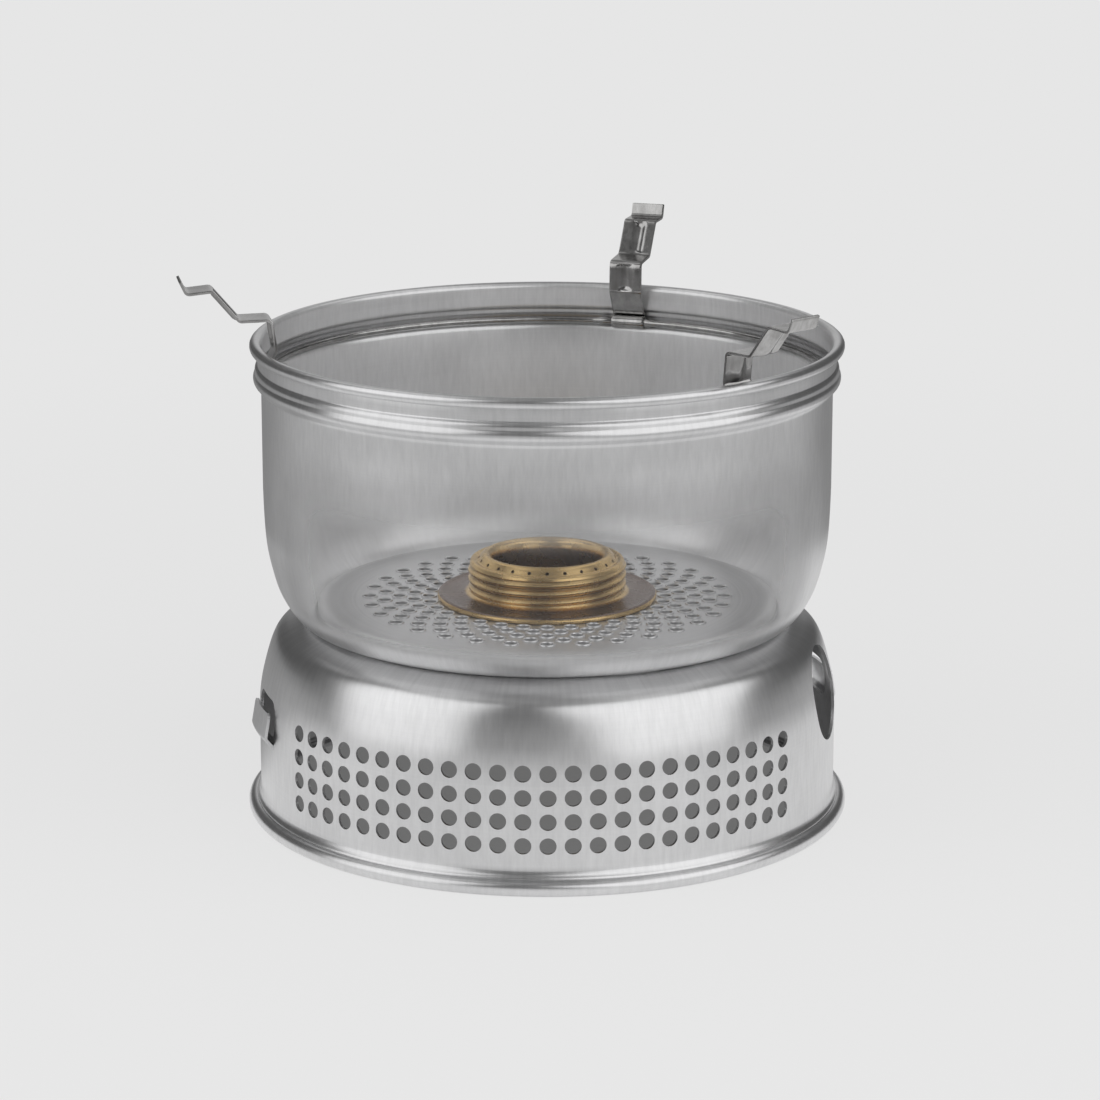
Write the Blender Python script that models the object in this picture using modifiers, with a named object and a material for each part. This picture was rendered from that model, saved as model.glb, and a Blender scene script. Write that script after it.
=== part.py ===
# Storm cooker: a spirit burner hanging in the perforated floor of a two-part spun windshield.
# Three pan supports, rolled round a wire ring inside the rim, fold down into the windshield.
# Metres, +Z up. The cooker stands on z = 0, and its outline is centred over the origin.
# Azimuths are in degrees, counted from +X towards +Y. The vents face -Y.

import math

import bmesh
import bpy
from mathutils import Matrix, Vector

MM = 0.001

# The axis of the turned pieces stands off the origin, because the supports lean out to one side.
AXIS_X = 9.90 * MM
AXIS_Y = -6.61 * MM

# Spun aluminium sheet of the two windshields, and the steps of their turns
SHEET = 1.0 * MM
SHELL_STEPS = 30

# Lower windshield: wall, rolled foot flange, shoulder and the turned-down lip of its mouth
WALL_RADIUS = 97.25 * MM
FLANGE_ROLL_RADIUS = 2.2 * MM
FLANGE_ROLL_CENTRE = (99.3 * MM, 2.54 * MM)
LIP_RADIUS = 80.3 * MM
LIP_BEND = 1.0 * MM
LIP_BOTTOM = 64.0 * MM
LIP_TOP = 66.45 * MM

# Vents: rows of round holes over the front of the wall
VENT_RADIUS = 2.75 * MM
VENT_PITCH = 8.0 * MM
VENT_ROWS = 4
VENT_COLUMNS = 24
VENT_LOWEST = 16.0 * MM
VENT_MIDDLE = 267.8

# Round hole in the side, for a gas hose
HOSE_HOLE_RADIUS = 16.3 * MM
HOSE_HOLE_HEIGHT = 45.0 * MM
HOSE_HOLE_AZIMUTH = 345.5

# Strap hooks: wide tongues cut free on three sides of a window and bent out of the wall
HOOK_AZIMUTHS = (195.2, 15.2)
HOOK_WIDTH = 20.6 * MM
HOOK_PATH = ((97.2 * MM, 28.6 * MM), (100.4 * MM, 32.4 * MM), (98.9 * MM, 41.2 * MM))
HOOK_BEND = 1.6 * MM
HOOK_WINDOW_TOP = 46.5 * MM
HOOK_WINDOW_GAP = 2.6 * MM

# Upper windshield: neck, bead that holds the wire ring, wall, foot ring and raised floor
NECK_RADIUS = 96.1 * MM
BEAD_RADIUS = 97.8 * MM
BOWL_RADIUS = 94.8 * MM
RIM_ROLL_RADIUS = 1.3 * MM
RIM_ROLL_HEIGHT = 160.0 * MM
FOOT_RADIUS = 78.7 * MM
FOOT_BEND = 0.85 * MM
FOOT_BOTTOM = 62.2 * MM
FLOOR_HEIGHT = 71.1 * MM
BURNER_HOLE_RADIUS = 33.4 * MM

# Perforations of the floor: staggered rings round the burner
PERFORATION_RADIUS = 2.15 * MM
PERFORATION_RINGS = (40.0 * MM, 45.0 * MM, 50.0 * MM, 55.0 * MM, 60.0 * MM)
PERFORATIONS_IN_RING = 32

# Twist lock of the windshields: lugs on the foot ring pass down notches in the lip
TWIST_TO_UNLOCK = 20.0
LUG_ANGLE = 8.0
LUG_REACH = 80.9 * MM
LUG_LOW = 61.9 * MM
LUG_HIGH = 63.4 * MM
NOTCH_ANGLE = 12.0
NOTCH_REACH = 81.4 * MM

# Pan supports: azimuth of each, and how far it leans out past square where it rests
SUPPORTS = {
    "pan_support_back": (72.0, -3.2),
    "pan_support_left": (189.6, 2.8),
    "pan_support_right": (311.5, 0.7),
}
STRIP = 0.9 * MM
STRIP_WIDTH = 11.6 * MM
STRIP_BEND = 1.7 * MM
RIB_WIDTH = 4.2 * MM
RIB_DEPTH = 1.0 * MM
EYE_RADIUS = 1.8 * MM
EYE_TURN = 290.0

# Wire ring that the supports are rolled round
RING_RADIUS = 94.0 * MM
RING_HEIGHT = 148.9 * MM
WIRE_RADIUS = 1.05 * MM
STOP_OFFSET = 8.2 * MM
STOP_SWELL = 1.7

# Burner: sheet brass, with a running gap to each neighbour
BRASS = 0.5 * MM
GAP = 0.3 * MM
BURNER_STEPS = 18
CUP_RADIUS = 32.25 * MM
CUP_BOTTOM = 44.25 * MM
CUP_CORNER = 3.0 * MM
CRIMP_RADIUS = 36.7 * MM
CRIMP_LOW = 72.15 * MM
THREAD_RADIUS = 26.3 * MM
THREAD_DEPTH = 0.7 * MM
THREAD_PITCH = 3.0 * MM
THREAD_BOTTOM = 75.0 * MM
THREAD_TURNS = 3
SHOULDER_HEIGHT = 85.3 * MM
RIM_TOP = 87.3 * MM
JET_CIRCLE = 22.6 * MM
JET_COUNT = 24
JET_RADIUS = 0.55 * MM
INNER_WALL_RADIUS = 19.35 * MM
WICK_THICKNESS = 3.2 * MM

MERGE = 0.02 * MM


def clear_scene():
    for obj in list(bpy.data.objects):
        bpy.data.objects.remove(obj, do_unlink=True)


def new_collection(name):
    collection = bpy.data.collections.new(name)
    bpy.context.scene.collection.children.link(collection)
    return collection


def new_material(name, colour, roughness, metallic):
    material = bpy.data.materials.new(name)
    material.use_nodes = True
    shader = material.node_tree.nodes["Principled BSDF"]
    shader.inputs["Base Color"].default_value = (*colour, 1.0)
    shader.inputs["Roughness"].default_value = roughness
    shader.inputs["Metallic"].default_value = metallic
    return material


def place(name, mesh, collection, parent=None, material=None):
    obj = bpy.data.objects.new(name, mesh)
    collection.objects.link(obj)
    obj.parent = parent
    if material:
        mesh.materials.append(material)
    return obj


def hide_cutter(obj):
    obj.hide_render = True
    obj.display_type = "WIRE"


def polar(radius, azimuth, height=0.0):
    angle = math.radians(azimuth)
    return Vector((radius * math.cos(angle), radius * math.sin(angle), height))


def arc(centre, radius, start, end, count):
    """Points of an arc in a profile, from one angle to another in degrees."""
    turns = [math.radians(start + (end - start) * i / (count - 1)) for i in range(count)]
    return [(centre[0] + radius * math.cos(t), centre[1] + radius * math.sin(t)) for t in turns]


def rounded(path, radius, count):
    """The path with each inner corner drawn as an arc of this radius."""
    result = [Vector(path[0])]
    for before, corner, after in zip(path, path[1:], path[2:]):
        corner = Vector(corner)
        back = (Vector(before) - corner).normalized()
        ahead = (Vector(after) - corner).normalized()
        half = back.angle(ahead) / 2
        start = corner + back * radius / math.tan(half)
        end = corner + ahead * radius / math.tan(half)
        centre = corner + (back + ahead).normalized() * radius / math.sin(half)
        for i in range(count):
            spoke = (start - centre).slerp(end - centre, i / (count - 1))
            result.append(centre + spoke.normalized() * radius)
    result.append(Vector(path[-1]))
    return result


def profile_mesh(name, points, closed=False):
    """A chain of edges in the XZ plane, given as radius and height."""
    mesh = bpy.data.meshes.new(name)
    edges = [(i, i + 1) for i in range(len(points) - 1)]
    if closed:
        edges.append((len(points) - 1, 0))
    mesh.from_pydata([(x, 0.0, z) for x, z in points], edges, [])
    return mesh


def turn(obj, steps):
    screw = obj.modifiers.new("Turned", "SCREW")
    screw.axis = "Z"
    screw.angle = math.tau
    screw.steps = steps
    screw.render_steps = steps
    screw.use_merge_vertices = True
    screw.merge_threshold = MERGE
    screw.use_smooth_shade = True


def thicken(obj, thickness):
    solid = obj.modifiers.new("Sheet", "SOLIDIFY")
    solid.thickness = thickness
    solid.offset = 0.0
    solid.use_even_offset = True


def turned_sheet(name, points, steps, thickness, collection, parent, material):
    """A spun shell: the middle of its sheet is the profile, from top to bottom."""
    obj = place(name, profile_mesh(name, points), collection, parent, material)
    turn(obj, steps)
    thicken(obj, thickness)
    return obj


def boolean(obj, tool, operation):
    modifier = obj.modifiers.new(tool.name, "BOOLEAN")
    modifier.operation = operation
    modifier.object = tool
    hide_cutter(tool)


def rods(name, places, radius, depth, sides, collection, parent):
    """One mesh of straight rods, each given by its middle and its direction."""
    shape = bmesh.new()
    for middle, direction in places:
        aim = direction.to_track_quat("Z", "Y").to_matrix().to_4x4()
        bmesh.ops.create_cone(
            shape, cap_ends=True, segments=sides, radius1=radius, radius2=radius, depth=depth,
            matrix=Matrix.Translation(middle) @ aim,
        )
    mesh = bpy.data.meshes.new(name)
    shape.to_mesh(mesh)
    shape.free()
    return place(name, mesh, collection, parent)


def ring_pieces(name, azimuths, angle, radii, heights, collection, parent):
    """One mesh of short pieces of a square ring, each in the middle of its azimuth."""
    shape = bmesh.new()
    inner, outer = radii
    low, high = heights
    steps = 3
    for azimuth in azimuths:
        corners = []
        for height in (low, high):
            for radius, order in ((inner, range(steps + 1)), (outer, range(steps, -1, -1))):
                for i in order:
                    turned_by = azimuth - angle / 2 + angle * i / steps
                    corners.append(shape.verts.new(polar(radius, turned_by, height)))
        count = len(corners) // 2
        bmesh.ops.contextual_create(shape, geom=corners[:count])
        bmesh.ops.contextual_create(shape, geom=corners[count:])
        for i in range(count):
            j = (i + 1) % count
            shape.faces.new((corners[i], corners[j], corners[count + j], corners[count + i]))
    bmesh.ops.recalc_face_normals(shape, faces=shape.faces)
    mesh = bpy.data.meshes.new(name)
    shape.to_mesh(mesh)
    shape.free()
    return place(name, mesh, collection, parent)


def bent_strip(name, path, width, rib, collection, parent, material=None):
    """A flat strip laid along a path in the XZ plane. rib gives its push off the path at each point."""
    columns = [-width / 2, -RIB_WIDTH / 2, -RIB_WIDTH / 5, RIB_WIDTH / 5, RIB_WIDTH / 2, width / 2]
    rows = [Vector(point) for point in path]
    shape = bmesh.new()
    bmesh.ops.create_grid(shape, x_segments=len(columns) - 1, y_segments=len(rows) - 1, size=1.0)
    shape.verts.ensure_lookup_table()
    for j, point in enumerate(rows):
        along = rows[min(j + 1, len(rows) - 1)] - rows[max(j - 1, 0)]
        off = Vector((along.y, -along.x)).normalized()
        for i, side in enumerate(columns):
            pushed = point + off * (rib[j] if abs(side) < RIB_WIDTH / 4 else 0.0)
            shape.verts[j * len(columns) + i].co = (pushed.x, side, pushed.y)
    mesh = bpy.data.meshes.new(name)
    shape.to_mesh(mesh)
    shape.free()
    return place(name, mesh, collection, parent, material)


def lower_profile():
    lip = [(LIP_RADIUS, LIP_BOTTOM)]
    lip += arc((LIP_RADIUS + LIP_BEND, LIP_TOP - LIP_BEND), LIP_BEND, 180, 105, 2)
    shoulder = [
        (88.7 * MM, 63.1 * MM), (91.4 * MM, 60.9 * MM), (94.2 * MM, 53.9 * MM), (96.6 * MM, 44.0 * MM),
    ]
    wall = [(WALL_RADIUS, 37.0 * MM), (WALL_RADIUS, 8.3 * MM)]
    roll = arc(FLANGE_ROLL_CENTRE, FLANGE_ROLL_RADIUS, 112, -68, 5)
    roll += arc(FLANGE_ROLL_CENTRE, FLANGE_ROLL_RADIUS, -112, -157, 2)
    return lip + shoulder + wall + roll


def upper_profile():
    rim_centre = (NECK_RADIUS + RIM_ROLL_RADIUS, RIM_ROLL_HEIGHT)
    rim = arc(rim_centre, RIM_ROLL_RADIUS, -130, 180, 6)
    bead_top = 153.2 * MM
    bead_bottom = 144.2 * MM
    bead = [
        (NECK_RADIUS, bead_top), (BEAD_RADIUS, bead_top - 2.4 * MM),
        (BEAD_RADIUS - 0.2 * MM, bead_bottom + 2.8 * MM), (BOWL_RADIUS, bead_bottom),
    ]
    bowl = [
        (BOWL_RADIUS, 112.0 * MM), (94.1 * MM, 95.0 * MM), (92.0 * MM, 84.0 * MM),
        (88.6 * MM, 75.0 * MM), (84.0 * MM, 70.5 * MM), (79.5 * MM, 67.2 * MM),
    ]
    foot = [(FOOT_RADIUS, 66.0 * MM)]
    foot += arc((FOOT_RADIUS - FOOT_BEND, FOOT_BOTTOM + FOOT_BEND), FOOT_BEND, 0, -180, 3)
    edge = FOOT_RADIUS - 2 * FOOT_BEND
    floor = [(edge, FLOOR_HEIGHT), (BURNER_HOLE_RADIUS, FLOOR_HEIGHT)]
    return rim + bead + bowl + foot + floor


def vent_places():
    step = math.degrees(VENT_PITCH / WALL_RADIUS)
    first = VENT_MIDDLE - step * (VENT_COLUMNS - 1) / 2
    azimuths = [first + step * column for column in range(VENT_COLUMNS)]
    heights = [VENT_LOWEST + VENT_PITCH * row for row in range(VENT_ROWS)]
    return [(polar(WALL_RADIUS, a, h), polar(1.0, a)) for a in azimuths for h in heights]


def perforation_places():
    places = []
    step = 360.0 / PERFORATIONS_IN_RING
    for ring, radius in enumerate(PERFORATION_RINGS):
        start = 270.0 + step / 2 * (ring % 2)
        for i in range(PERFORATIONS_IN_RING):
            places.append((polar(radius, start + step * i, FLOOR_HEIGHT), Vector((0, 0, 1))))
    return places


def hook(index, azimuth, shell, cutters, parent):
    """Cuts the window of a strap hook and joins the tongue, curved like the wall, to its sill."""
    frame = bpy.data.objects.new(f"hook_frame_{index}", None)
    cutters.objects.link(frame)
    frame.parent = parent
    frame.rotation_euler = (0.0, 0.0, math.radians(azimuth))
    sill = HOOK_PATH[0][1] + 1.6 * MM
    middle = Vector((WALL_RADIUS - 1.0 * MM, 0.0, (sill + HOOK_WINDOW_TOP) / 2))
    shape = bmesh.new()
    size = (14.0 * MM, HOOK_WIDTH + 2 * HOOK_WINDOW_GAP, HOOK_WINDOW_TOP - sill)
    bmesh.ops.create_cube(shape, size=1.0, matrix=Matrix.Translation(middle) @ Matrix.Diagonal((*size, 1.0)))
    mesh = bpy.data.meshes.new(f"hook_window_{index}")
    shape.to_mesh(mesh)
    shape.free()
    boolean(shell, place(mesh.name, mesh, cutters, frame), "DIFFERENCE")
    path = rounded(HOOK_PATH, HOOK_BEND, 3)
    tongue = bent_strip(f"hook_tongue_{index}", path, HOOK_WIDTH, [0.0] * len(path), cutters, frame)
    for vertex in tongue.data.vertices:
        vertex.co.x -= WALL_RADIUS - math.sqrt(WALL_RADIUS ** 2 - vertex.co.y ** 2)
    thicken(tongue, SHEET)
    boolean(shell, tongue, "UNION")


def lower_windshield(parts, cutters, axis, aluminium):
    shell = turned_sheet("lower_windshield", lower_profile(), SHELL_STEPS, SHEET, parts, axis, aluminium)
    vents = rods("vent_punches", vent_places(), VENT_RADIUS, 8.0 * MM, 6, cutters, axis)
    boolean(shell, vents, "DIFFERENCE")
    hose = polar(WALL_RADIUS, HOSE_HOLE_AZIMUTH, HOSE_HOLE_HEIGHT)
    outwards = polar(1.0, HOSE_HOLE_AZIMUTH)
    punch = rods("hose_punch", [(hose, outwards)], HOSE_HOLE_RADIUS, 30.0 * MM, 16, cutters, axis)
    boolean(shell, punch, "DIFFERENCE")
    azimuths = [azimuth - TWIST_TO_UNLOCK for azimuth, lean in SUPPORTS.values()]
    radii = (LIP_RADIUS - 2.0 * MM, NOTCH_REACH)
    heights = (LIP_BOTTOM - 2.0 * MM, LIP_TOP + 2.0 * MM)
    notches = ring_pieces("lip_notches", azimuths, NOTCH_ANGLE, radii, heights, cutters, axis)
    boolean(shell, notches, "DIFFERENCE")
    for index, azimuth in enumerate(HOOK_AZIMUTHS):
        hook(index, azimuth, shell, cutters, axis)
    return shell


def upper_windshield(parts, cutters, axis, aluminium):
    shell = turned_sheet("upper_windshield", upper_profile(), SHELL_STEPS, SHEET, parts, axis, aluminium)
    holes = rods("floor_punches", perforation_places(), PERFORATION_RADIUS, 4.0 * MM, 5, cutters, axis)
    boolean(shell, holes, "DIFFERENCE")
    azimuths = [azimuth for azimuth, lean in SUPPORTS.values()]
    radii = (FOOT_RADIUS - 0.2 * MM, LUG_REACH)
    lugs = ring_pieces("foot_lugs", azimuths, LUG_ANGLE, radii, (LUG_LOW, LUG_HIGH), cutters, axis)
    boolean(shell, lugs, "UNION")
    return shell


def support_path():
    """Middle of the strip, as offsets from the hinge: eye, standing leg, low seat, slope, high seat, tip."""
    corners = [
        (-3.6 * MM, 11.9 * MM), (-2.7 * MM, 22.15 * MM), (7.7 * MM, 22.45 * MM),
        (15.9 * MM, 33.15 * MM), (24.4 * MM, 32.75 * MM), (26.2 * MM, 37.2 * MM),
    ]
    knee = Vector(corners[0])
    touch = math.atan2(knee.y, knee.x) - math.acos(EYE_RADIUS / knee.length)
    start = math.degrees(touch)
    eye = arc((0.0, 0.0), EYE_RADIUS, start - EYE_TURN, start, 8)
    path = [Vector(point) for point in eye]
    path += rounded([eye[-1]] + corners, STRIP_BEND, 3)[1:]
    return path, corners


def rib_push(path, corners):
    """The rib stands full along the leg and the slope, and fades out at their bends."""
    push = []
    runs = ((corners[0], corners[1]), (corners[2], corners[3]))
    for point in path:
        depth = 0.0
        for start, end in runs:
            start, end = Vector(start), Vector(end)
            part = (point - start).dot(end - start) / (end - start).length_squared
            off_line = (point - start - (end - start) * part).length
            if 0.12 < part < 0.88 and off_line < 0.2 * MM:
                depth = RIB_DEPTH
        push.append(depth)
    return push


def with_rib_points(path, corners):
    """Adds two points in the leg and two in the slope, where the rib is full."""
    result = []
    for here, ahead in zip(path, path[1:]):
        result.append(here)
        for start, end in ((corners[0], corners[1]), (corners[2], corners[3])):
            middle = (Vector(start) + Vector(end)) / 2
            nearest = (here + ahead) / 2
            if (middle - nearest).length < 1.0 * MM:
                result += [here.lerp(ahead, 0.22), here.lerp(ahead, 0.78)]
    result.append(path[-1])
    return result


def pan_supports(parts, axis, steel):
    path, corners = support_path()
    path = with_rib_points(path, corners)
    for name, (azimuth, lean) in SUPPORTS.items():
        support = bent_strip(name, path, STRIP_WIDTH, rib_push(path, corners), parts, axis, steel)
        support.location = polar(RING_RADIUS, azimuth, RING_HEIGHT)
        support.rotation_euler = (0.0, math.radians(lean), math.radians(azimuth))
        thicken(support, STRIP)


def support_ring(parts, axis, steel):
    """Wire ring, straight through each eye, with a swaged stop on each side of it."""
    points = []
    azimuths = [azimuth for azimuth, lean in SUPPORTS.values()]
    swell = 1.2 * MM
    offsets = [-STOP_OFFSET - swell, -STOP_OFFSET, -STOP_OFFSET + swell]
    offsets += [-offset for offset in reversed(offsets)]
    for here, ahead in zip(azimuths, azimuths[1:] + [azimuths[0] + 360.0]):
        across = polar(1.0, here + 90.0)
        for offset in offsets:
            size = STOP_SWELL if abs(offset) == STOP_OFFSET else 1.0
            points.append((polar(RING_RADIUS, here, RING_HEIGHT) + across * offset, size))
        steps = 8
        for i in range(1, steps):
            points.append((polar(RING_RADIUS, here + (ahead - here) * i / steps, RING_HEIGHT), 1.0))
    curve = bpy.data.curves.new("support_ring", "CURVE")
    curve.dimensions = "3D"
    curve.bevel_depth = WIRE_RADIUS
    curve.bevel_resolution = 1
    spline = curve.splines.new("POLY")
    spline.points.add(len(points) - 1)
    spline.use_cyclic_u = True
    for point, (place_of, size) in zip(spline.points, points):
        point.co = (*place_of, 1.0)
        point.radius = size
    return place("support_ring", curve, parts, axis, steel)


def burner_collar(parts, cutters, axis, brass):
    """Top of the burner: inner neck, rim with jets, shoulder, thread and the crimped flange."""
    neck = INNER_WALL_RADIUS - BRASS - GAP
    top = [
        (neck, 82.0 * MM), (neck, 84.2 * MM), (19.3 * MM, 86.6 * MM), (20.3 * MM, RIM_TOP - BRASS / 2),
        (21.4 * MM, 86.7 * MM), (23.0 * MM, 84.9 * MM), (24.4 * MM, SHOULDER_HEIGHT),
        (25.9 * MM, SHOULDER_HEIGHT - 0.7 * MM),
    ]
    crest = THREAD_RADIUS
    root = THREAD_RADIUS - THREAD_DEPTH
    thread = []
    for i in reversed(range(THREAD_TURNS)):
        low = THREAD_BOTTOM + THREAD_PITCH * i
        thread += [(root, low + 0.95 * THREAD_PITCH), (crest, low + 0.65 * THREAD_PITCH)]
        thread += [(crest, low + 0.35 * THREAD_PITCH)]
    thread.append((root, THREAD_BOTTOM))
    layer = BRASS + GAP
    flange = [
        (root + 1.2 * MM, CRIMP_LOW + 2 * layer), (CRIMP_RADIUS - 0.5 * MM, CRIMP_LOW + 2 * layer),
        (CRIMP_RADIUS, CRIMP_LOW + 1.5 * layer), (CRIMP_RADIUS, CRIMP_LOW + 0.5 * layer),
        (CRIMP_RADIUS - 0.5 * MM, CRIMP_LOW), (CRIMP_RADIUS - 2.6 * MM, CRIMP_LOW),
    ]
    shell = turned_sheet("burner_collar", top + thread + flange, BURNER_STEPS, BRASS, parts, axis, brass)
    places = []
    for i in range(JET_COUNT):
        azimuth = 270.0 + 360.0 / JET_COUNT * i
        slope = polar(1.0, azimuth, 0.9).normalized()
        places.append((polar(JET_CIRCLE, azimuth, 85.5 * MM), slope))
    jets = rods("jet_drills", places, JET_RADIUS, 2.4 * MM, 4, cutters, axis)
    boolean(shell, jets, "DIFFERENCE")
    return shell


def burner_cup(parts, axis, brass):
    """Fuel cup that hangs below the floor, its edge held in the collar's crimp."""
    edge = CRIMP_RADIUS - BRASS - GAP
    flange_height = CRIMP_LOW + BRASS + GAP
    corner = arc((CUP_RADIUS - CUP_CORNER, CUP_BOTTOM + CUP_CORNER), CUP_CORNER, 0, -90, 3)
    profile = [(edge, flange_height), (CUP_RADIUS + 0.7 * MM, flange_height)]
    profile += [(CUP_RADIUS, flange_height - 0.9 * MM)] + corner + [(0.0, CUP_BOTTOM)]
    return turned_sheet("burner_cup", profile, BURNER_STEPS, BRASS, parts, axis, brass)


def burner_inner_wall(parts, cutters, axis, brass):
    """Tube between the fuel well and the wick, with ports in its foot that let the fuel through."""
    foot = CUP_BOTTOM + BRASS / 2 + GAP
    profile = [(INNER_WALL_RADIUS, 83.4 * MM), (INNER_WALL_RADIUS, foot)]
    tube = turned_sheet("burner_inner_wall", profile, BURNER_STEPS, BRASS, parts, axis, brass)
    azimuths = [30.0 + 120.0 * i for i in range(3)]
    places = [(polar(INNER_WALL_RADIUS, azimuth, foot), polar(1.0, azimuth)) for azimuth in azimuths]
    ports = rods("fuel_ports", places, 1.6 * MM, 4.0 * MM, 8, cutters, axis)
    boolean(tube, ports, "DIFFERENCE")
    return tube


def burner_wick(parts, axis, fibre):
    inner = INNER_WALL_RADIUS + BRASS / 2 + GAP
    outer = inner + WICK_THICKNESS
    high = 81.0 * MM
    low = CUP_BOTTOM + BRASS / 2 + 2 * GAP
    loop = [(outer, high), (outer, low), (inner, low), (inner, high)]
    wick = place("burner_wick", profile_mesh("burner_wick", loop, closed=True), parts, axis, fibre)
    turn(wick, BURNER_STEPS)
    return wick


def main():
    clear_scene()
    parts = new_collection("storm_cooker")
    cutters = new_collection("cutters")
    axis = bpy.data.objects.new("cooker_axis", None)
    parts.objects.link(axis)
    axis.location = (AXIS_X, AXIS_Y, 0.0)
    aluminium = new_material("spun_aluminium", (0.72, 0.72, 0.73), 0.32, 1.0)
    steel = new_material("stainless_steel", (0.42, 0.41, 0.40), 0.25, 1.0)
    brass = new_material("bronzed_brass", (0.50, 0.36, 0.20), 0.30, 1.0)
    fibre = new_material("wick_fibre", (0.78, 0.74, 0.66), 0.95, 0.0)
    lower_windshield(parts, cutters, axis, aluminium)
    upper_windshield(parts, cutters, axis, aluminium)
    support_ring(parts, axis, steel)
    pan_supports(parts, axis, steel)
    burner_collar(parts, cutters, axis, brass)
    burner_cup(parts, axis, brass)
    burner_inner_wall(parts, cutters, axis, brass)
    burner_wick(parts, axis, fibre)


main()
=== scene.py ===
import math

import bmesh
import bpy
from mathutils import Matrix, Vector


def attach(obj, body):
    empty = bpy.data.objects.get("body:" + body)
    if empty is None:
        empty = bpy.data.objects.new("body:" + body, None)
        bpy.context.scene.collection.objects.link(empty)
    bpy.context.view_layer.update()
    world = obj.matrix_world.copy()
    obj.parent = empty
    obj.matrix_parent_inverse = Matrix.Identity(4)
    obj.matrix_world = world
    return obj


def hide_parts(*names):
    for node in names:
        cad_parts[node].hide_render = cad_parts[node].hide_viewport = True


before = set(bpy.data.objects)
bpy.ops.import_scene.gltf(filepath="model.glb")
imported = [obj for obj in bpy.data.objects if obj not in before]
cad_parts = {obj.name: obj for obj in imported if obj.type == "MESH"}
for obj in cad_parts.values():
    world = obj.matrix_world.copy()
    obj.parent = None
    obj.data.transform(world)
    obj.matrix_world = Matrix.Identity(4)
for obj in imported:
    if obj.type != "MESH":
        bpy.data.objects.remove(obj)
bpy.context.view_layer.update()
print("frame loaded:", len(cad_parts), "nodes")

mm = 0.001
axisX, axisY = 9.90 * mm, -6.61 * mm      # the line that every turned piece stands on
frontward = 270.0      # the azimuth of -Y
hair = 0.01      # mm, how far off a line or a limit a vertex may lie and still be picked
seam = 0.002      # mm, vertices closer than this are one
pole = 0.001      # mm, the radius that stands for a point on the axis
smoothAngle = 32.0      # degrees, sharper edges than this stay sharp
white = (1.0, 1.0, 1.0, 1.0)
black = (0.0, 0.0, 0.0, 1.0)


# tools for the hand work

def pickOnly(piece):
    bpy.ops.object.select_all(action="DESELECT")
    piece.select_set(True)
    bpy.context.view_layer.objects.active = piece


def intoMesh(piece):      # the object goes to the origin and its place into the mesh
    pickOnly(piece)
    bpy.ops.object.transform_apply(location=True, rotation=True, scale=True)


def named(piece, name):
    piece.name = piece.data.name = name
    return piece


def joined(pieces, into, name):
    pickOnly(into)
    for piece in pieces:
        piece.select_set(True)
    bpy.ops.object.join()
    return named(into, name)


def editing(piece):
    pickOnly(piece)
    bpy.ops.object.mode_set(mode="EDIT")
    return bmesh.from_edit_mesh(piece.data)


def doneEditing():
    bpy.ops.object.mode_set(mode="OBJECT")


def pickVerts(piece, inside):      # selects the vertices whose place passes the test
    mesh = bmesh.from_edit_mesh(piece.data)
    bpy.ops.mesh.select_mode(type="VERT")
    bpy.ops.mesh.select_all(action="DESELECT")
    for vert in mesh.verts:
        vert.select_set(inside(vert.co))
    mesh.select_flush(True)
    bmesh.update_edit_mesh(piece.data)


def applied(piece, kind, **settings):
    pickOnly(piece)
    modifier = piece.modifiers.new(kind.lower(), kind)
    for key, value in settings.items():
        setattr(modifier, key, value)
    bpy.ops.object.modifier_apply(modifier=modifier.name)
    return piece


def asSheet(piece, thickness):      # the profile is the middle of the sheet
    return applied(piece, "SOLIDIFY", thickness=thickness * mm, offset=0.0, use_even_offset=True)


def cutWith(piece, tool, operation="DIFFERENCE"):
    applied(piece, "BOOLEAN", object=tool, operation=operation, solver="EXACT")
    bpy.data.objects.remove(tool)
    return piece


def cleaned(piece):      # seams closed and faces turned outwards
    editing(piece)
    bpy.ops.mesh.select_all(action="SELECT")
    bpy.ops.mesh.remove_doubles(threshold=seam * mm)
    bpy.ops.mesh.normals_make_consistent(inside=False)
    doneEditing()
    return piece


def bow(centre, radius, start, end, count):      # points along an arc of a profile
    turns = [math.radians(start + (end - start) * i / (count - 1)) for i in range(count)]
    return [(centre[0] + radius * math.cos(t), centre[1] + radius * math.sin(t)) for t in turns]


def eased(points, rounds=2):      # cuts the corners of a profile, as a sheet bends
    for _ in range(rounds):
        cut = [points[0]]
        for here, ahead in zip(points, points[1:]):
            cut.append(tuple(0.75 * a + 0.25 * b for a, b in zip(here, ahead)))
            cut.append(tuple(0.25 * a + 0.75 * b for a, b in zip(here, ahead)))
        points = cut + [points[-1]]
    return points


def turned(name, profile, steps):      # a ring drawn out along radius and height, in mm
    radius, height = profile[0]
    place = (axisX, axisY, height * mm)
    bpy.ops.object.select_all(action="DESELECT")
    bpy.ops.mesh.primitive_circle_add(vertices=steps, radius=radius * mm, location=place)
    piece = named(bpy.context.object, name)
    editing(piece)
    bpy.ops.mesh.select_all(action="SELECT")
    for (r0, z0), (r1, z1) in zip(profile, profile[1:]):
        lift = (0.0, 0.0, (z1 - z0) * mm)
        scale = max(r1, pole) / r0
        bpy.ops.mesh.extrude_edges_move(TRANSFORM_OT_translate={"value": lift})
        bpy.ops.transform.resize(value=(scale, scale, 1.0), center_override=(axisX, axisY, 0.0))
    if profile[-1][0] == 0:
        bpy.ops.mesh.merge(type="CENTER")
    doneEditing()
    intoMesh(piece)
    return cleaned(piece)


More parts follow.
